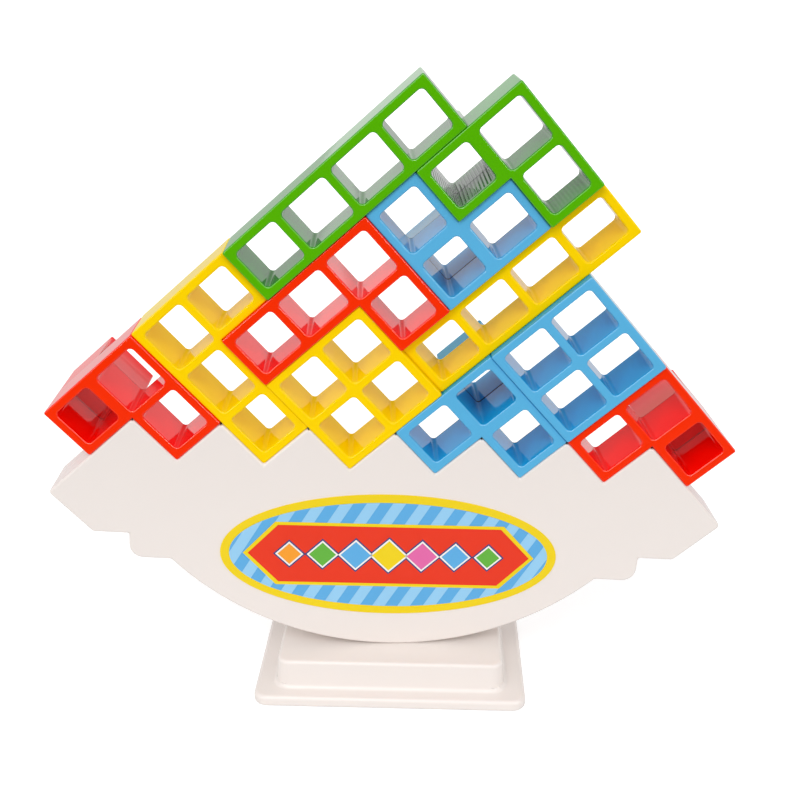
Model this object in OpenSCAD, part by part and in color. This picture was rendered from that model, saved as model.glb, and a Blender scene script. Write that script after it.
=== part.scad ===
// Stacking balance game: a notched rocker stands on a low base and carries hollow blocks of square cells.
// X runs to the right, Y away from the viewer and Z up. The origin is the middle of the base's underside.

/* [Block cells] */
// Edge of one square block cell, and the pitch of the seats that take it
cell = 17; // [15:0.5:19]
// Depth of one block cell, front to back
cell_depth = 16; // [12:0.5:20]
// Wall of a block, also between two of its cells
cell_wall = 2.4; // [1.4:0.1:3]
// Radius in the corners of a cell's opening
mouth_radius = 1.3; // [0.4:0.1:2.4]
// Radius on the outer corners of a block
corner_radius = 0.6; // [0.3:0.1:1.2]
// How much the opening of a cell that is two deep narrows on each side towards its waist at mid depth
waist = 0.3; // [0.1:0.1:0.8]

/* [Rocker] */
// Thickness of the rocker, front to back
rocker_depth = 16; // [14:0.5:20]
// Wall of the rocker's two shells
rocker_wall = 2; // [1.4:0.1:2.6]
// Radius of the arc that it rolls on
arc_radius = 87.5; // [80:0.5:94]
// Height from the lowest point of the arc to the line of the tooth tips
arc_drop = 69.7; // [66:0.1:73]
// Length of each slanted edge at the rocker's two ends
shoulder = 17; // [12:0.5:20]
// How far the step under each end stands in from the end's lower corner
step_inset = 10.2; // [5:0.1:16]
// Height of that step
step_height = 7.8; // [5:0.1:11]
// Radius on the step's outer corner
step_radius = 4; // [2.8:0.1:4.8]
// Radius on the two end tips
tip_radius = 1.2; // [0.4:0.1:2]
// Width of the flat on a tooth's tip
tooth_flat = 1.2; // [0.4:0.1:2.4]

/* [Pins inside the rocker] */
// Radius of the locating pins on the rear shell
pin_radius = 1.5; // [1:0.1:2]
// Clearance round a pin in its socket
pin_play = 0.1; // [0.05:0.05:0.3]
// How far a pin reaches past the seam
pin_reach = 4; // [2:0.5:5]
// Radius of the posts that carry the pins and the sockets
post_radius = 3.4; // [2.8:0.1:4.5]
// Distance between the two upper posts
upper_post_span = 124; // [110:1:130]
// Distance of the upper posts below the tooth tips
upper_post_drop = 26; // [22:0.5:29]
// Distance between the two lower posts
lower_post_span = 60; // [40:1:72]
// Distance of the lower posts below the tooth tips
lower_post_drop = 50; // [44:0.5:54]

/* [Pose of the rocker] */
// Tilt of the rocker, right end down, in degrees
rocker_tilt = 4.1; // [0:0.1:8]
// Turn of the rocker on the base, left end forward, in degrees
rocker_turn = 3.5; // [-6:0.1:6]
// Distance from the middle of the base to the line that the rocker stands on
rocker_shift = 2.3; // [-8:0.1:8]

/* [Slides of the blocks] */
// How far the yellow row of four stands back from the rocker's face
yellow_bar_slide = 1.8; // [-3:0.1:3]
// How far the green row of four stands back from it, and below 0 how far it stands forward
green_bar_slide = -1; // [-3:0.1:3]
// The same for the green block with a cell two deep
green_screw_slide = -1.1; // [-3:0.1:3]
// The same for the red block of four cells
red_ell_slide = -0.6; // [-3:0.1:3]
// The same for the yellow block in an L
yellow_ell_slide = 0.6; // [-3:0.1:3]
// The same for the blue block of two by two cells
blue_square_slide = -0.7; // [-3:0.1:3]

/* [Label] */
// Width of the oval label
label_width = 97.5; // [80:0.5:104]
// Height of the oval label
label_height = 39.6; // [30:0.5:42]
// Thickness of the label's film
label_film = 0.2; // [0.1:0.05:0.4]
// Distance of the label's middle below the tooth tips
label_drop = 38.9; // [36:0.1:42]
// Distance of the label's middle to the right of the rocker's middle
label_shift = 0.8; // [-3:0.1:3]
// Turn of the label on the rocker, right end up, in degrees
label_turn = 1.8; // [-3:0.1:3]

/* [Base] */
// Width of the base plate
plate_width = 80; // [76:0.5:100]
// Depth of the base plate, front to back
plate_depth = 46.5; // [43:0.5:60]
// Height of the plate's edge
plate_height = 3.2; // [3:0.1:6]
// Radius of the plate's corners
plate_corner = 4; // [3:0.1:8]
// Width of the raised pad at its foot
pad_width = 68.2; // [56:0.1:71]
// Depth of the raised pad at its foot
pad_depth = 37.6; // [28:0.1:38]
// Height of the pad above the plate
pad_height = 8.8; // [6:0.1:16]
// How far the pad's walls spread outward from top to foot
pad_draft = 0.9; // [0.2:0.1:1.6]
// Radius of the pad's upright corners, at its top
pad_corner = 3.4; // [3:0.1:6]
// Radius along the pad's top edge
pad_edge = 1.2; // [0.6:0.1:1.8]
// Wall of the base
base_wall = 2; // [1.2:0.1:2.4]
// Thickness of the ribs under the base
rib_wall = 1.4; // [1:0.1:2]
// Number of ribs from front to back under the base
cross_ribs = 1; // [1:2:5]

/* [Hidden] */
$fn = 48;

// Colours of the plastics and of the label
WHITE = [0.93, 0.91, 0.88];
RED = [1.0, 0.24, 0.05];
YELLOW = [1.0, 0.82, 0.0];
GREEN = [0.3, 0.68, 0.05];
BLUE = [0.31, 0.68, 0.88];

// The rocker has one seat for each cell of the stack's lowest row
seats = 8;
// Half the diagonal of a cell, which stands on its corner
half_diagonal = cell * sin(45);
// Rise of the slanted edge at a rocker's end
shoulder_rise = shoulder * sin(45);
// Reach and height of the rocker's end tips, from the middle and from the tooth tips
tip_reach = (seats - 1) * half_diagonal + shoulder_rise;
tip_level = -half_diagonal - shoulder_rise;
// Undersides of the ends and of the steps
end_level = tip_level - shoulder_rise;
step_level = end_level - step_height;
step_reach = tip_reach - shoulder_rise - step_inset;
// Centre of the rolling arc above the tooth tips
arc_centre = arc_radius - arc_drop;
// Plane of the rocker's front face, where the blocks' front faces also lie before they slide
front = -rocker_depth / 2;
base_height = plate_height + pad_height;
// Overlap that joins or cuts solids cleanly
lap = 0.5;
// Segments round the oval label
label_segments = 96;

// Whether a list of cells holds a cell
function holds(cells, c) = len([for (x = cells) if (x == c) x]) > 0;

// Wall on one side of a cell: half of it where the next cell belongs to the same block
function side_wall(cells, deep, c, step) =
    holds(deep, c) || !holds(cells, c + step) ? cell_wall : cell_wall / 2;

// Rectangle from the origin with round corners
module rounded_rect(width, height, radius) {
    translate([radius, 0])
        square([width - 2 * radius, height]);
    translate([0, radius])
        square([width, height - 2 * radius]);
    for (x = [radius, width - radius], y = [radius, height - radius])
        translate([x, y])
            circle(radius);
}

// The same rectangle about the origin
module centred_rect(width, height, radius) {
    translate([-width / 2, -height / 2])
        rounded_rect(width, height, radius);
}

// Stands a drawing up, so that its second axis is Z, and gives it a depth from y_front to y_rear
module upright(y_front, y_rear) {
    translate([0, y_rear, 0])
        rotate([90, 0, 0])
            linear_extrude(y_rear - y_front)
                children();
}

// Frame of the rocker: the origin is at the middle of the line of tooth tips
module in_rocker() {
    translate([rocker_shift, 0, base_height + arc_radius])
        rotate([0, 0, rocker_turn])
            rotate([0, rocker_tilt, 0])
                translate([0, 0, -arc_centre])
                    children();
}

// Frame of the stack: X runs up to the right along a row of cells, and Z up to the left
module in_stack() {
    in_rocker()
        translate([-seats * half_diagonal, 0, 0])
            rotate([0, -45, 0])
                children();
}

// Outline of the cells of one layer. A cell [i, j] is the i-th up to the right and the j-th down to the right.
module cells_outline(cells) {
    for (c = cells) {
        translate([c[0] * cell, -(c[1] + 1) * cell])
            rounded_rect(cell, cell, corner_radius);
        // Fills the round corners where two cells of the block meet
        if (holds(cells, c + [1, 0]))
            translate([(c[0] + 1) * cell - corner_radius, -(c[1] + 1) * cell])
                square([2 * corner_radius, cell]);
        if (holds(cells, c + [0, 1]))
            translate([c[0] * cell, -(c[1] + 1) * cell - corner_radius])
                square([cell, 2 * corner_radius]);
    }
}

// Opening of one cell
module cell_mouth(cells, deep, c) {
    low_x = side_wall(cells, deep, c, [-1, 0]);
    high_x = side_wall(cells, deep, c, [1, 0]);
    low_y = side_wall(cells, deep, c, [0, 1]);
    high_y = side_wall(cells, deep, c, [0, -1]);
    translate([c[0] * cell + low_x, -(c[1] + 1) * cell + low_y])
        rounded_rect(cell - low_x - high_x, cell - low_y - high_y, mouth_radius);
}

// Half of a waisted opening: wide at its open end, which faces -Y for side -1 and +Y for side 1
module waisted_half(middle, side) {
    half = cell / 2 - cell_wall;
    straight = half - max(mouth_radius, 1.25 * waist);
    wide = half + waist * lap / cell_depth;
    narrow = half - waist;
    reach = cell_depth + lap;
    translate([0, middle, 0])
        mirror([0, side > 0 ? 1 : 0, 0]) {
            flank = [[-narrow, 0], [-wide, -reach], [wide, -reach], [narrow, 0]];
            translate([0, 0, -straight])
                linear_extrude(2 * straight)
                    polygon(flank);
            rotate([0, 90, 0])
                translate([0, 0, -straight])
                    linear_extrude(2 * straight)
                        polygon(flank);
            for (x = [-straight, straight], z = [-straight, straight])
                translate([x, 0, z])
                    rotate([90, 0, 0])
                        cylinder(reach, narrow - straight, wide - straight);
        }
}

// Opening of a cell that is two deep
module waisted_mouth(c, middle) {
    translate([(c[0] + 0.5) * cell, 0, -(c[1] + 0.5) * cell])
        for (side = [-1, 1])
            waisted_half(middle, side);
}

// One block: its cells stand side by side, and a cell in the list deep is two cells deep
module block(cells, deep = [], slide = 0) {
    face = front + slide;
    middle = face + cell_depth;
    rear = middle + cell_depth;
    in_stack()
        difference() {
            union() {
                upright(face, middle)
                    cells_outline(cells);
                if (len(deep) > 0)
                    upright(middle - lap, rear)
                        cells_outline(deep);
            }
            upright(face - lap, middle + lap)
                for (c = cells)
                    if (!holds(deep, c))
                        cell_mouth(cells, deep, c);
            for (c = deep)
                waisted_mouth(c, middle);
        }
}

// Outline of the rocker, drawn in by a margin on every side
module rocker_outline(margin) {
    slant = margin * sqrt(2);
    flat = tooth_flat / 2;
    reach = tip_reach - slant;
    foot = reach - (tip_level - end_level - margin);
    // The cavity keeps sharp tips
    tip_round = margin > 0 ? 0 : tip_radius;
    tip_cut = tip_round * sin(45);
    tooth_points = [
        for (k = [1:seats - 1])
            let (x = (2 * k - seats) * half_diagonal)
                each [
                    [x - flat, -flat - slant],
                    [x + flat, -flat - slant],
                    if (k < seats - 1) [x + half_diagonal, -half_diagonal - slant]
                ]
    ];
    polygon(concat(
        [[-foot, end_level + margin]],
        [[-reach + tip_cut, tip_level - tip_cut], [-reach + tip_cut, tip_level + tip_cut]],
        tooth_points,
        [[reach - tip_cut, tip_level + tip_cut], [reach - tip_cut, tip_level - tip_cut]],
        [[foot, end_level + margin]]
    ));
    if (tip_round > 0)
        for (side = [-1, 1])
            translate([side * (reach - 2 * tip_cut), tip_level])
                circle(tip_round);
    // The steps under the ends
    intersection() {
        translate([-step_reach + margin, step_level + margin])
            rounded_rect(2 * (step_reach - margin), -2 * step_level, step_radius - margin);
        translate([-step_reach, step_level])
            square([2 * step_reach, step_height + margin + lap]);
    }
    // The arc that the rocker rolls on
    intersection() {
        translate([0, arc_centre])
            circle(arc_radius - margin, $fn = 240);
        translate([-arc_radius, -arc_drop])
            square([2 * arc_radius, arc_drop + step_level + margin + lap]);
    }
}

// Middles of the posts inside the rocker
module at_posts() {
    for (side = [-1, 1]) {
        translate([side * upper_post_span / 2, -upper_post_drop])
            children();
        translate([side * lower_post_span / 2, -lower_post_drop])
            children();
    }
}

// The front shell, from y_front to the seam, with its face at the front
module rocker_shell(face) {
    half = rocker_depth / 2;
    mirror([0, face > 0 ? 1 : 0, 0]) {
        difference() {
            upright(-half, 0)
                rocker_outline(0);
            upright(-half + rocker_wall, lap)
                rocker_outline(rocker_wall);
        }
        upright(-half + rocker_wall - lap, 0)
            at_posts()
                circle(post_radius);
    }
}

// Profile of a pad's flank: upright axis at 0, half wide at the top, with a draft and a round top edge
module flank_profile(half, height, edge) {
    slope = sqrt(height * height + pad_draft * pad_draft);
    round_x = half - edge * (slope - pad_draft) / height;
    round_y = height - edge;
    polygon([
        [0, 0],
        [half + pad_draft, 0],
        [round_x + edge * height / slope, round_y + edge * pad_draft / slope],
        [round_x, round_y],
        [round_x, height],
        [0, height]
    ]);
    if (edge > 0)
        translate([round_x, round_y])
            circle(edge);
}

// Pad with drafted flanks and round corners. Width and depth are those of its top.
module drafted_pad(width, depth, corner, height, edge) {
    reach_x = width / 2 - corner;
    reach_y = depth / 2 - corner;
    for (turn = [0, 180])
        rotate([0, 0, turn]) {
            translate([0, reach_y, 0])
                rotate([90, 0, 0])
                    linear_extrude(2 * reach_y)
                        flank_profile(width / 2, height, edge);
            rotate([0, 0, 90])
                translate([0, reach_x, 0])
                    rotate([90, 0, 0])
                        linear_extrude(2 * reach_x)
                            flank_profile(depth / 2, height, edge);
        }
    for (x = [-reach_x, reach_x], y = [-reach_y, reach_y])
        translate([x, y, 0])
            rotate_extrude()
                intersection() {
                    flank_profile(corner, height, edge);
                    square([2 * corner, height]);
                }
}

// Inside of the pad, with a margin from its skin
module pad_core(margin) {
    drafted_pad(
        pad_width - 2 * pad_draft - 2 * margin,
        pad_depth - 2 * pad_draft - 2 * margin,
        pad_corner - margin,
        base_height - margin,
        0
    );
}

module base_ribs() {
    rib_pitch = (pad_width - 2 * base_wall) / (cross_ribs + 1);
    rib_top = base_height - base_wall / 2;
    translate([-pad_width / 2, -rib_wall / 2, 0])
        cube([pad_width, rib_wall, rib_top]);
    for (k = [1:cross_ribs])
        translate([(k - (cross_ribs + 1) / 2) * rib_pitch - rib_wall / 2, -pad_depth / 2, 0])
            cube([rib_wall, pad_depth, rib_top]);
}

// A plate with a raised flat pad, moulded in one piece and open underneath
module base() {
    color(WHITE) {
        difference() {
            union() {
                linear_extrude(plate_height)
                    centred_rect(plate_width, plate_depth, plate_corner);
                drafted_pad(
                    pad_width - 2 * pad_draft,
                    pad_depth - 2 * pad_draft,
                    pad_corner,
                    base_height,
                    pad_edge
                );
            }
            pad_core(base_wall);
        }
        intersection() {
            base_ribs();
            pad_core(base_wall / 2);
        }
    }
}

// Front half of the rocker, with the sockets
module rocker_front() {
    color(WHITE)
        in_rocker()
            difference() {
                rocker_shell(-1);
                upright(-pin_reach - pin_play, lap)
                    at_posts()
                        circle(pin_radius + pin_play);
            }
}

// Rear half of the rocker, with the pins
module rocker_rear() {
    color(WHITE)
        in_rocker() {
            rocker_shell(1);
            upright(-pin_reach, lap)
                at_posts()
                    circle(pin_radius);
        }
}

// Thin printed oval on the front of the rocker
module oval_label() {
    color(YELLOW)
        in_rocker()
            translate([label_shift, 0, -label_drop])
                rotate([0, -label_turn, 0])
                    upright(front - label_film, front)
                        polygon([
                            for (k = [0:label_segments - 1])
                                let (turn = 360 * k / label_segments)
                                    [label_width / 2 * cos(turn), label_height / 2 * sin(turn)]
                        ]);
}

// The blocks, from the lower left of the stack to its lower right
module red_screw_left() {
    color(RED)
        block([[0, 0], [1, 0], [1, 1]], [[0, 0]]);
}

module yellow_ell() {
    color(YELLOW)
        block([[2, 0], [3, 0], [2, 1], [2, 2]], [], yellow_ell_slide);
}

module green_bar() {
    color(GREEN)
        block([[4, 0], [5, 0], [6, 0], [7, 0]], [], green_bar_slide);
}

module red_ell() {
    color(RED)
        block([[3, 1], [4, 1], [5, 1], [5, 2]], [], red_ell_slide);
}

module yellow_square() {
    color(YELLOW)
        block([[3, 2], [4, 2], [3, 3], [4, 3]]);
}

module blue_tripod_upper() {
    color(BLUE)
        block([[6, 1], [6, 2], [7, 2]], [[6, 2]]);
}

module green_screw() {
    color(GREEN)
        block([[7, 1], [8, 1], [8, 2]], [[7, 1]], green_screw_slide);
}

module yellow_bar() {
    color(YELLOW)
        block([[5, 3], [6, 3], [7, 3], [8, 3]], [], yellow_bar_slide);
}

module blue_tripod_lower() {
    color(BLUE)
        block([[4, 4], [5, 4], [5, 5]], [[5, 4]]);
}

module blue_square() {
    color(BLUE)
        block([[6, 4], [7, 4], [6, 5], [7, 5]], [], blue_square_slide);
}

module red_screw_right() {
    color(RED)
        block([[6, 6], [7, 6], [7, 7]], [[7, 7]]);
}

base();
rocker_front();
rocker_rear();
oval_label();
red_screw_left();
yellow_ell();
green_bar();
red_ell();
yellow_square();
blue_tripod_upper();
green_screw();
yellow_bar();
blue_tripod_lower();
blue_square();
red_screw_right();
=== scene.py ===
"""Looks of a stacking balance game: plastics, the printed label, the floor, the light and the camera."""

import math

import bmesh
import bpy
import numpy as np
from mathutils import Matrix, Vector


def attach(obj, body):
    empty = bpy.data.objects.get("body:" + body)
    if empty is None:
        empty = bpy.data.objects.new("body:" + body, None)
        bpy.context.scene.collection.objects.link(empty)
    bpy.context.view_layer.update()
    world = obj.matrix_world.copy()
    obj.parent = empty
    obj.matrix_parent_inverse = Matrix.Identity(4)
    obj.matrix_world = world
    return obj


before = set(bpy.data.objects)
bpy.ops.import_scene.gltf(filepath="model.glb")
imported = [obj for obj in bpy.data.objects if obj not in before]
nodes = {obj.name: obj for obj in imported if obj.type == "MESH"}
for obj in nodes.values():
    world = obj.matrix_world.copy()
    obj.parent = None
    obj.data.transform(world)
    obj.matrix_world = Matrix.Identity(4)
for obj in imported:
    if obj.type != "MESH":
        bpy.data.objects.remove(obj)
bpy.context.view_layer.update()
scene = bpy.context.scene
MM = 0.001


# Frames of the rocker and the stack

# The sizes are those of the part's source. The rocker's X runs to the right along its face, its Y to the
# rear and its Z up. The stack's X runs up to the right along a row of cells, and its Z up to the left.
CELL = 17 * MM
SEATS = 8
HALF_DEPTH = 8 * MM
GREEN_SLIDE = -1.1 * MM
TILT = math.radians(4.1)
TURN = math.radians(3.5)
SHIFT = 2.3 * MM
PLATE_TOP = 3.2 * MM
BASE_HEIGHT = 12 * MM
ARC_RADIUS = 87.5 * MM
ARC_DROP = 69.7 * MM
ROCKER = (
    Matrix.Translation((SHIFT, 0, BASE_HEIGHT + ARC_RADIUS))
    @ Matrix.Rotation(TURN, 4, "Z")
    @ Matrix.Rotation(TILT, 4, "Y")
    @ Matrix.Translation((0, 0, ARC_DROP - ARC_RADIUS))
)
STACK = (
    ROCKER
    @ Matrix.Translation((-SEATS * CELL * math.sqrt(0.5), 0, 0))
    @ Matrix.Rotation(math.radians(-45), 4, "Y")
)
REARWARD = ROCKER.col[1].to_3d()


# Colours

def linear(value):
    """One channel of a screen colour, 0 to 255, as light."""
    v = value / 255
    return v / 12.92 if v <= 0.04045 else ((v + 0.055) / 1.055) ** 2.4


def screen(red, green, blue):
    """A screen colour as light."""
    return (linear(red), linear(green), linear(blue), 1)


WHITE = screen(236, 228, 223)
RED = screen(248, 46, 0)
YELLOW = screen(254, 212, 0)
GREEN = screen(84, 178, 0)
BLUE = screen(90, 178, 224)

# Painted light: the walls get a deeper colour than the front and rear rims. It stands in for light that
# passes through the thin plastic and bounces between the walls
PAINTED_WALL_RED = screen(255, 8, 0)
PAINTED_WALL_YELLOW = screen(255, 220, 0)
PAINTED_WALL_GREEN = screen(30, 146, 0)
PAINTED_WALL_BLUE = screen(28, 165, 220)


# Node helpers

def node(tree, kind, inputs=None, **settings):
    """A new node, with values of its inputs by name and its own settings."""
    made = tree.nodes.new(kind)
    for key, value in settings.items():
        setattr(made, key, value)
    for key, value in (inputs or {}).items():
        made.inputs[key].default_value = value
    return made


def maths(tree, operation, *values):
    """One sum, of numbers and of other nodes' outputs."""
    made = node(tree, "ShaderNodeMath", operation=operation)
    for socket, value in zip(made.inputs, values):
        if isinstance(value, (int, float)):
            socket.default_value = value
        else:
            tree.links.new(value, socket)
    return made.outputs[0]


def mapped(tree, value, low, high, start=0, end=1):
    """From start to end while the value runs from low to high."""
    span = {"From Min": low, "From Max": high, "To Min": start, "To Max": end}
    made = node(tree, "ShaderNodeMapRange", span)
    tree.links.new(value, made.inputs["Value"])
    return made.outputs["Result"]


def between(tree, value, low, high):
    """1 where the value lies from low to high, and 0 elsewhere."""
    above = maths(tree, "GREATER_THAN", value, low)
    below = maths(tree, "LESS_THAN", value, high)
    return maths(tree, "MULTIPLY", above, below)


def less(tree, value, share, cut):
    """A value lowered by the product of a share and a cut, both from 0 to 1."""
    return maths(tree, "MULTIPLY", value, maths(tree, "SUBTRACT", 1, maths(tree, "MULTIPLY", share, cut)))


def reach(tree, vector, direction):
    """How far a vector reaches in a direction."""
    made = node(tree, "ShaderNodeVectorMath", operation="DOT_PRODUCT")
    made.inputs[1].default_value = direction
    tree.links.new(vector, made.inputs[0])
    return made.outputs["Value"]


def along(tree, matrix, axis):
    """Distance along one axis of a frame, in a material."""
    where = node(tree, "ShaderNodeTexCoord")
    start = node(tree, "ShaderNodeVectorMath", operation="SUBTRACT")
    start.inputs[1].default_value = matrix.translation
    tree.links.new(where.outputs["Object"], start.inputs[0])
    return reach(tree, start.outputs["Vector"], matrix.col[axis].to_3d())


def front_share(tree):
    """1 on a surface that faces the front or the rear, and 0 on a wall that runs from front to back."""
    normal = node(tree, "ShaderNodeNewGeometry").outputs["Normal"]
    return maths(tree, "ABSOLUTE", reach(tree, normal, REARWARD))


# Plastics

PLASTIC_IOR = 1.5
CLOUD = {"Scale": 45, "Detail": 1, "Roughness": 0.4}
GRAIN = {"Scale": 1600, "Detail": 2, "Roughness": 0.6}
GRAIN_RELIEF = {"Strength": 0.02, "Distance": 0.2 * MM}
GLOSS_SPREAD = 0.02
CLOUD_RANGE = (0.2, 0.8)

# How far a surface faces the front where the walls' painted deeper colour ends and the edges' and the rims'
# shine begins
TINT_TURN = (0.35, 0.75)
EDGE_TURN = (0.2, 0.4)
RIM_TURN = (0.88, 0.98)
RIM_SPECULAR = 0.08


def mottled(tree, colour, mottle, cloud):
    """A colour that wanders a little around its value."""
    made = node(tree, "ShaderNodeMix", data_type="RGBA")
    made.inputs["A"].default_value = [c * (1 - mottle) for c in colour[:3]] + [1]
    made.inputs["B"].default_value = [min(1, c * (1 + mottle)) for c in colour[:3]] + [1]
    tree.links.new(cloud, made.inputs["Factor"])
    return made.outputs["Result"]


def plastic(name, colour, roughness=0.04, mottle=0.02, specular=0.33, walls=None, edge_specular=0.5):
    """Moulded glossy plastic with a faint unevenness in colour, gloss and surface.

    Walls is the painted deeper colour of the surfaces that run from front to back, where it differs. It is
    painted light, which stands in for light through the thin plastic and between the walls. The front and
    rear rims are then less glossy than the walls, and the rounded edges between them glossier.
    """
    made = bpy.data.materials.new(name)
    made.use_nodes = True
    tree = made.node_tree
    shader = tree.nodes["Principled BSDF"]
    shader.inputs["IOR"].default_value = PLASTIC_IOR
    shader.inputs["Specular IOR Level"].default_value = specular
    where = node(tree, "ShaderNodeTexCoord").outputs["Object"]
    cloud = node(tree, "ShaderNodeTexNoise", CLOUD)
    grain = node(tree, "ShaderNodeTexNoise", GRAIN)
    tree.links.new(where, cloud.inputs["Vector"])
    tree.links.new(where, grain.inputs["Vector"])
    tint = mottled(tree, colour, mottle, cloud.outputs["Fac"])
    # Painted light: surfaces that run from front to back get the deeper colour by the way they face
    if walls:
        facing = front_share(tree)
        both = node(tree, "ShaderNodeMix", data_type="RGBA")
        tree.links.new(mapped(tree, facing, *TINT_TURN), both.inputs["Factor"])
        tree.links.new(mottled(tree, walls, mottle, cloud.outputs["Fac"]), both.inputs["A"])
        tree.links.new(tint, both.inputs["B"])
        tint = both.outputs["Result"]
        edge = mapped(tree, facing, *EDGE_TURN, specular, edge_specular)
        lost = maths(tree, "MULTIPLY", mapped(tree, facing, *RIM_TURN), edge_specular - RIM_SPECULAR)
        tree.links.new(maths(tree, "SUBTRACT", edge, lost), shader.inputs["Specular IOR Level"])
    tree.links.new(tint, shader.inputs["Base Color"])
    span = (roughness - GLOSS_SPREAD, roughness + GLOSS_SPREAD)
    tree.links.new(mapped(tree, cloud.outputs["Fac"], *CLOUD_RANGE, *span), shader.inputs["Roughness"])
    bump = node(tree, "ShaderNodeBump", GRAIN_RELIEF)
    tree.links.new(grain.outputs["Fac"], bump.inputs["Height"])
    tree.links.new(bump.outputs["Normal"], shader.inputs["Normal"])
    return made


# The breadth of the painted shade at the mould line, its share of the plastic's colour, and how far its
# walls may face the front
SEAM = 0.9 * MM
SEAM_SHADE = 0.12
SEAM_TURN = 0.3


def seam(material, depth, slide=0.0):
    """Painted shade: a thin dark line round the waist of the two-deep cells, in the step where the mould's
    halves met.
    """
    tree = material.node_tree
    inputs = tree.nodes["Principled BSDF"].inputs
    waist = HALF_DEPTH + slide
    line = between(tree, along(tree, ROCKER, 1), waist - SEAM / 2, waist + SEAM / 2)
    wall = maths(tree, "LESS_THAN", front_share(tree), SEAM_TURN)
    marked = maths(tree, "MULTIPLY", line, wall)
    # Painted shade: the line darkens the colour and lowers the shine
    darker = node(tree, "ShaderNodeMix", data_type="RGBA", blend_type="MULTIPLY")
    darker.inputs["B"].default_value = (SEAM_SHADE, SEAM_SHADE, SEAM_SHADE, 1)
    tree.links.new(maths(tree, "MULTIPLY", marked, depth), darker.inputs["Factor"])
    tree.links.new(inputs["Base Color"].links[0].from_socket, darker.inputs["A"])
    tree.links.new(darker.outputs["Result"], inputs["Base Color"])
    shine = inputs["Specular IOR Level"]
    tree.links.new(less(tree, shine.links[0].from_socket, marked, depth), shine)


def rear_matt(material, depth):
    """Less shine behind the front row of cells, where other walls shade the block."""
    tree = material.node_tree
    shine = tree.nodes["Principled BSDF"].inputs["Specular IOR Level"]
    behind = maths(tree, "GREATER_THAN", along(tree, ROCKER, 1), HALF_DEPTH + SEAM / 2)
    tree.links.new(less(tree, shine.links[0].from_socket, behind, depth), shine)


# The ridges keep clear of the cell's neighbours and of its rims
RIDGE_PITCH = 1.1 * MM
RIDGE_INSET = 1.5 * MM
RIDGE_END = 0.5 * MM


def ridges(material, column, row, height=0.12 * MM, strength=0.9):
    """Fine ridges from front to back on the walls of one cell."""
    tree = material.node_tree
    normal = tree.nodes["Principled BSDF"].inputs["Normal"]
    right = along(tree, STACK, 0)
    down = maths(tree, "MULTIPLY", along(tree, STACK, 2), -1)
    in_column = between(tree, right, column * CELL + RIDGE_INSET, (column + 1) * CELL - RIDGE_INSET)
    in_row = between(tree, down, row * CELL + RIDGE_INSET, (row + 1) * CELL - RIDGE_INSET)
    in_depth = between(tree, along(tree, ROCKER, 1), RIDGE_END - HALF_DEPTH, 3 * HALF_DEPTH - RIDGE_END)
    inside = maths(tree, "MULTIPLY", maths(tree, "MULTIPLY", in_column, in_row), in_depth)
    turn = maths(tree, "MULTIPLY", maths(tree, "ADD", right, down), 2 * math.pi / RIDGE_PITCH)
    relief = node(tree, "ShaderNodeBump", {"Strength": strength, "Distance": height})
    tree.links.new(maths(tree, "MULTIPLY", maths(tree, "SINE", turn), inside), relief.inputs["Height"])
    tree.links.new(normal.links[0].from_socket, relief.inputs["Normal"])
    tree.links.new(relief.outputs["Normal"], normal)


white = plastic("white_plastic", WHITE, roughness=0.2, mottle=0.006)
PLASTICS = {
    "red": plastic("red_plastic", RED, walls=PAINTED_WALL_RED),
    "yellow": plastic("yellow_plastic", YELLOW, walls=PAINTED_WALL_YELLOW, specular=0.03, edge_specular=0.15),
    "green": plastic("green_plastic", GREEN, walls=PAINTED_WALL_GREEN, specular=0.24),
    "blue": plastic("blue_plastic", BLUE, walls=PAINTED_WALL_BLUE, specular=0.26),
}
seam(PLASTICS["red"], 0.35)
seam(PLASTICS["blue"], 0.95)
rear_matt(PLASTICS["red"], 0.8)
rear_matt(PLASTICS["blue"], 0.5)
green_ridged = plastic("green_plastic_ridged", GREEN, walls=PAINTED_WALL_GREEN, specular=0.24)
seam(green_ridged, 0.85, GREEN_SLIDE)
ridges(green_ridged, 7, 1, height=0.22 * MM)
ridges(green_ridged, 8, 2, strength=0.1)


# Softly rounded edges on the moulded pieces

BLOCK_EDGE = 0.5 * MM
ROCKER_EDGE = 0.8 * MM
BASE_EDGE = 1.3 * MM
ROUND_ANGLE = math.radians(32)
FLAT_ANGLE = math.radians(0.6)
WELD_REACH = 5e-6
NORMAL_WEIGHT = 80

# Shares of the full rounding on the blocks' rear edges, at the rocker's seam and below the base's plate
REAR_SHARE = 0.28
SEAM_SHARE = 0.2
LOW_SHARE = 0.5
SEAM_REACH = 1 * MM
LEVEL_SLACK = 0.1 * MM


def edge_marks(name, weigh):
    """A node group that stores how strongly each edge is rounded, from its signed angle and its place."""
    made = bpy.data.node_groups.new(name, "GeometryNodeTree")
    for way in ("INPUT", "OUTPUT"):
        made.interface.new_socket(name="Geometry", in_out=way, socket_type="NodeSocketGeometry")
    start = node(made, "NodeGroupInput")
    end = node(made, "NodeGroupOutput")
    angle = node(made, "GeometryNodeInputMeshEdgeAngle")
    store = node(made, "GeometryNodeStoreNamedAttribute", data_type="FLOAT", domain="EDGE")
    store.inputs["Name"].default_value = "bevel_weight_edge"
    place = node(made, "GeometryNodeInputPosition")
    made.links.new(start.outputs[0], store.inputs["Geometry"])
    made.links.new(weigh(made, angle.outputs["Signed Angle"], place.outputs[0]), store.inputs["Value"])
    made.links.new(store.outputs["Geometry"], end.inputs[0])
    return made


def depth_of(tree, place):
    """How far an edge lies behind the rocker's middle plane."""
    return maths(tree, "SUBTRACT", reach(tree, place, REARWARD), ROCKER.translation.dot(REARWARD))


def block_weight(tree, angle, place):
    """Outer edges only, and the rear ones more finely."""
    outer = maths(tree, "GREATER_THAN", angle, ROUND_ANGLE)
    rear = maths(tree, "GREATER_THAN", depth_of(tree, place), HALF_DEPTH / 2)
    return less(tree, outer, rear, 1 - REAR_SHARE)


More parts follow.
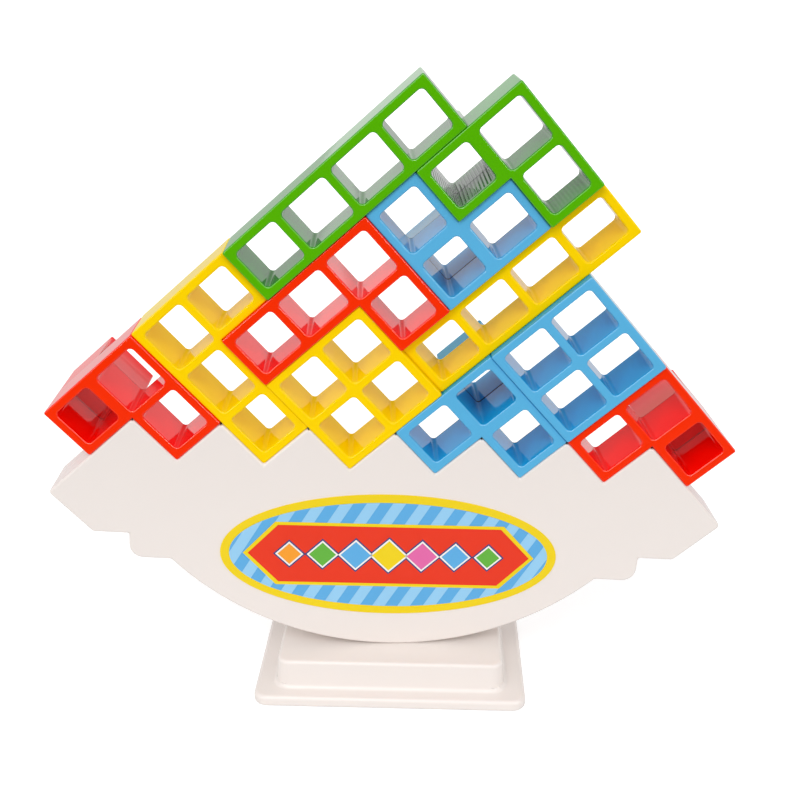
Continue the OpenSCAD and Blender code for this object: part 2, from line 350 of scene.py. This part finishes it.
def rocker_weight(tree, angle, place):
    """All sharp edges, and those at the seam of the two shells more finely."""
    outer = maths(tree, "GREATER_THAN", angle, ROUND_ANGLE)
    inner = maths(tree, "LESS_THAN", angle, -ROUND_ANGLE)
    at_seam = between(tree, depth_of(tree, place), -SEAM_REACH, SEAM_REACH)
    return less(tree, maths(tree, "ADD", outer, inner), at_seam, 1 - SEAM_SHARE)


def base_weight(tree, angle, place):
    """Outer edges, more finely below the plate's top, and the inner corner at the pad's foot."""
    outer = maths(tree, "GREATER_THAN", angle, ROUND_ANGLE)
    inner = maths(tree, "LESS_THAN", angle, -ROUND_ANGLE)
    parts = node(tree, "ShaderNodeSeparateXYZ")
    tree.links.new(place, parts.inputs[0])
    below = maths(tree, "LESS_THAN", parts.outputs["Z"], PLATE_TOP - LEVEL_SLACK)
    foot = between(tree, parts.outputs["Z"], PLATE_TOP - LEVEL_SLACK, PLATE_TOP + LEVEL_SLACK)
    return maths(tree, "ADD", less(tree, outer, below, 1 - LOW_SHARE), maths(tree, "MULTIPLY", inner, foot))


def rounded(piece, width, marks, segments=3):
    """Modifiers that round the marked edges and leave the flats flat."""
    piece.data.polygons.foreach_set("use_smooth", [True] * len(piece.data.polygons))
    weld = piece.modifiers.new("weld", "WELD")
    weld.merge_threshold = WELD_REACH
    flats = piece.modifiers.new("flats", "DECIMATE")
    flats.decimate_type = "DISSOLVE"
    flats.angle_limit = FLAT_ANGLE
    piece.modifiers.new("marks", "NODES").node_group = marks
    bevel = piece.modifiers.new("rounding", "BEVEL")
    bevel.width = width
    bevel.segments = segments
    bevel.limit_method = "WEIGHT"
    bevel.use_clamp_overlap = False
    bevel.loop_slide = False
    shading = piece.modifiers.new("shading", "WEIGHTED_NORMAL")
    shading.mode = "FACE_AREA_WITH_ANGLE"
    shading.weight = NORMAL_WEIGHT


def paint(piece, material):
    """One material for the whole piece."""
    piece.data.materials.clear()
    piece.data.materials.append(material)


block_marks = edge_marks("block_marks", block_weight)
rocker_marks = edge_marks("rocker_marks", rocker_weight)
base_marks = edge_marks("base_marks", base_weight)
for name, piece in nodes.items():
    if name == "base":
        paint(piece, white)
        rounded(piece, BASE_EDGE, base_marks, segments=4)
    elif name.startswith("rocker"):
        paint(piece, white)
        rounded(piece, ROCKER_EDGE, rocker_marks)
    elif name != "oval_label":
        paint(piece, green_ridged if name == "green_screw" else PLASTICS[name.split("_")[0]])
        rounded(piece, BLOCK_EDGE, block_marks)


# Print on the label

# Thin flat layers lie on the film in its own plane, and are counted outwards from its face
LAYER = 0.03 * MM
INK_ROUGHNESS = 0.22
INK_COLOURS = {
    "yellow": screen(240, 210, 8),
    "blue": screen(92, 172, 226),
    "pale_blue": screen(150, 205, 240),
    "red": screen(232, 50, 14),
    "dark_blue": screen(36, 62, 120),
    "white": screen(244, 240, 236),
    "green": screen(98, 178, 60),
    "pink": screen(226, 104, 168),
    "orange": screen(246, 158, 40),
}
INKS = {ink: plastic("print_" + ink, colour, roughness=INK_ROUGHNESS) for ink, colour in INK_COLOURS.items()}

film = nodes["oval_label"]
paint(film, INKS["yellow"])
film_points = np.array([v.co for v in film.data.vertices], float)
film_centre = (film_points.max(0) + film_points.min(0)) / 2
spread = np.linalg.svd(film_points - film_points.mean(0), full_matrices=False)[2]
across = Vector(spread[0]) * (1 if spread[0][0] > 0 else -1)
upward = Vector(spread[1]) * (1 if spread[1][2] > 0 else -1)
outward = across.cross(upward)
from_centre = film_points - film_centre
half_width = float(np.abs(from_centre @ np.array(across)).max())
half_height = float(np.abs(from_centre @ np.array(upward)).max())
film_face = float((from_centre @ np.array(outward)).max())
label_mesh = bmesh.new()


def draw(points, layer, ink):
    """A flat coloured shape of the print; points are in metres from the label's middle."""
    middle = Vector(film_centre) + outward * (film_face + layer * LAYER)
    face = label_mesh.faces.new([label_mesh.verts.new(middle + across * x + upward * y) for x, y in points])
    face.material_index = list(INKS).index(ink)


def oval(inset, count=96):
    """The label's outline, drawn in."""
    return [
        ((half_width - inset) * math.cos(2 * math.pi * k / count),
         (half_height - inset) * math.sin(2 * math.pi * k / count))
        for k in range(count)
    ]


def clip(points, a, b, c):
    """The part of a convex shape where a x + b y is at most c."""
    kept = []
    for (x0, y0), (x1, y1) in zip(points, points[1:] + points[:1]):
        d0, d1 = a * x0 + b * y0 - c, a * x1 + b * y1 - c
        if d0 <= 0:
            kept.append((x0, y0))
        if d0 * d1 < 0:
            t = d0 / (d0 - d1)
            kept.append((x0 + t * (x1 - x0), y0 + t * (y1 - y0)))
    return kept


def ribbon(half_length, half_breadth, point):
    """A band with a point at each end."""
    return [
        (-half_length, 0), (-half_length + point, -half_breadth), (half_length - point, -half_breadth),
        (half_length, 0), (half_length - point, half_breadth), (-half_length + point, half_breadth),
    ]


def diamond(x, size):
    """A square on its corner, on the label's long axis."""
    return [(x - size, 0), (x, -size), (x + size, 0), (x, size)]


RIM = 2.6 * MM
STRIPE = 3.2 * MM
STRIPE_PITCH = 6.4 * MM
STRIPE_SLANT = math.radians(60)
STRIPES = 19
field = oval(RIM)
draw(field, 1, "blue")
slant_x, slant_y = math.sin(STRIPE_SLANT), -math.cos(STRIPE_SLANT)
for k in range(STRIPES):
    low = (k - STRIPES // 2) * STRIPE_PITCH - STRIPE / 2
    stripe = clip(clip(field, slant_x, slant_y, low + STRIPE), -slant_x, -slant_y, -low)
    if len(stripe) > 2:
        draw(stripe, 3, "pale_blue")

# Half the length, half the breadth and the reach of the points
RIBBON_EDGE = (42.2 * MM, 10.4 * MM, 9.4 * MM)
RIBBON = (40.8 * MM, 9.4 * MM, 8.8 * MM)
draw(ribbon(*RIBBON_EDGE), 4, "yellow")
draw(ribbon(*RIBBON), 5, "red")

DIAMOND_INKS = ["orange", "green", "blue", "yellow", "pink", "blue", "green"]
DIAMOND_PITCH = 9.6 * MM
DIAMOND_SIZE = 6.2
DIAMOND_STEP = 0.5
DARK_LINE = 0.6 * MM
BOTH_LINES = 1.3 * MM
for k, ink in enumerate(DIAMOND_INKS):
    place = k - (len(DIAMOND_INKS) - 1) / 2
    size = (DIAMOND_SIZE - DIAMOND_STEP * abs(place)) * MM
    draw(diamond(place * DIAMOND_PITCH, size), 6, "dark_blue")
    draw(diamond(place * DIAMOND_PITCH, size - DARK_LINE), 7, "white")
    draw(diamond(place * DIAMOND_PITCH, size - BOTH_LINES), 8, ink)

mesh = bpy.data.meshes.new("label_print")
label_mesh.to_mesh(mesh)
label_mesh.free()
for material in INKS.values():
    mesh.materials.append(material)
label_print = bpy.data.objects.new("label_print", mesh)
scene.collection.objects.link(label_print)
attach(label_print, "root")


# Floor

FLOOR_HALF = 12
FLOOR_DROP = 0.05 * MM
FLOOR_GREY = 0.84

# From and to which distance in metres, and the values there
FRONT_GREY = (-0.1, -0.3, FLOOR_GREY, 0.3)
GLOW_RISE = (0.12, 1.0, 0.36, 0.8)


def floor_material():
    """Pale floor that looks white to the camera and keeps the object's shadow, and is greyer in front."""
    made = bpy.data.materials.new("floor")
    made.use_nodes = True
    tree = made.node_tree
    tree.nodes.clear()
    where = node(tree, "ShaderNodeTexCoord").outputs["Object"]
    parts = node(tree, "ShaderNodeSeparateXYZ")
    tree.links.new(where, parts.inputs[0])
    grey = mapped(tree, parts.outputs["Y"], *FRONT_GREY)
    matt = node(tree, "ShaderNodeBsdfDiffuse")
    tree.links.new(grey, matt.inputs["Color"])
    away = node(tree, "ShaderNodeVectorMath", operation="LENGTH")
    tree.links.new(where, away.inputs[0])
    rise = mapped(tree, away.outputs["Value"], *GLOW_RISE)
    lost = maths(tree, "SUBTRACT", FLOOR_GREY, grey)
    seen = node(tree, "ShaderNodeLightPath").outputs["Is Camera Ray"]
    glow = node(tree, "ShaderNodeEmission", {"Color": (1, 1, 1, 1)})
    tree.links.new(maths(tree, "MULTIPLY", seen, maths(tree, "ADD", rise, lost)), glow.inputs["Strength"])
    both = node(tree, "ShaderNodeAddShader")
    tree.links.new(matt.outputs[0], both.inputs[0])
    tree.links.new(glow.outputs[0], both.inputs[1])
    out = node(tree, "ShaderNodeOutputMaterial")
    tree.links.new(both.outputs[0], out.inputs["Surface"])
    return made


floor_mesh = bpy.data.meshes.new("floor")
floor_mesh.from_pydata(
    [(x * FLOOR_HALF, y * FLOOR_HALF, -FLOOR_DROP) for x, y in ((-1, -1), (1, -1), (1, 1), (-1, 1))],
    [], [(0, 1, 2, 3)],
)
floor_mesh.materials.append(floor_material())
floor = bpy.data.objects.new("floor", floor_mesh)
scene.collection.objects.link(floor)


# World

# The camera sees white. Shiny surfaces see white near the horizon, a darker sky and bright panels high in
# front. The rows hold from and to which part of the sky, and the strengths there.
AMBIENT = 0.82
HORIZON = (0.15, 0.36, 1.0, 0.3)
PANEL_SIDE = (-0.05, -0.25)
PANEL_HEIGHT = (0.2, 0.4, 0, 3.0)
world = bpy.data.worlds.new("studio")
world.use_nodes = True
tree = world.node_tree
background = tree.nodes["Background"]
background.inputs["Color"].default_value = (1, 1, 1, 1)
path = node(tree, "ShaderNodeLightPath")
sky = node(tree, "ShaderNodeSeparateXYZ")
tree.links.new(node(tree, "ShaderNodeTexCoord").outputs["Generated"], sky.inputs[0])
mirrored = mapped(tree, sky.outputs["Z"], *HORIZON)
in_front = mapped(tree, sky.outputs["Y"], *PANEL_SIDE)
overhead = mapped(tree, sky.outputs["Z"], *PANEL_HEIGHT)
reflected = maths(tree, "ADD", mirrored, maths(tree, "MULTIPLY", in_front, overhead))
glossy = maths(tree, "MULTIPLY", path.outputs["Is Glossy Ray"], maths(tree, "SUBTRACT", reflected, AMBIENT))
direct = maths(tree, "MULTIPLY", path.outputs["Is Camera Ray"], 1 - AMBIENT)
strength = maths(tree, "ADD", maths(tree, "ADD", glossy, direct), AMBIENT)
tree.links.new(strength, background.inputs["Strength"])
scene.world = world


# Lamps

LAMP_TARGET = Vector((0, 0, 0.09))


def softbox(name, place, size, power):
    """A square lamp that faces the object."""
    light = bpy.data.lights.new(name, "AREA")
    light.shape = "RECTANGLE"
    light.size = light.size_y = size
    light.energy = power
    made = bpy.data.objects.new(name, light)
    made.location = place
    made.rotation_euler = (LAMP_TARGET - Vector(place)).to_track_quat("-Z", "Y").to_euler()
    scene.collection.objects.link(made)


softbox("key", (-0.2, -0.85, 1.05), 0.5, 3.8)
softbox("left", (-0.8, -0.85, 0.42), 0.2, 1.4)
softbox("right", (0.8, -0.85, 0.42), 0.2, 1.4)

scene.view_settings.view_transform = "Standard"


# Camera

# It stands where the photograph was taken and has the same lens
camera_data = bpy.data.cameras.new("camera")
camera_data.sensor_width = 36
camera_data.lens = 48.05
camera = bpy.data.objects.new("camera", camera_data)
camera.location = (12.3 * MM, -276.8 * MM, 203.8 * MM)
camera.rotation_euler = (math.radians(67.37), 0, math.radians(2.03))
scene.collection.objects.link(camera)
scene.camera = camera
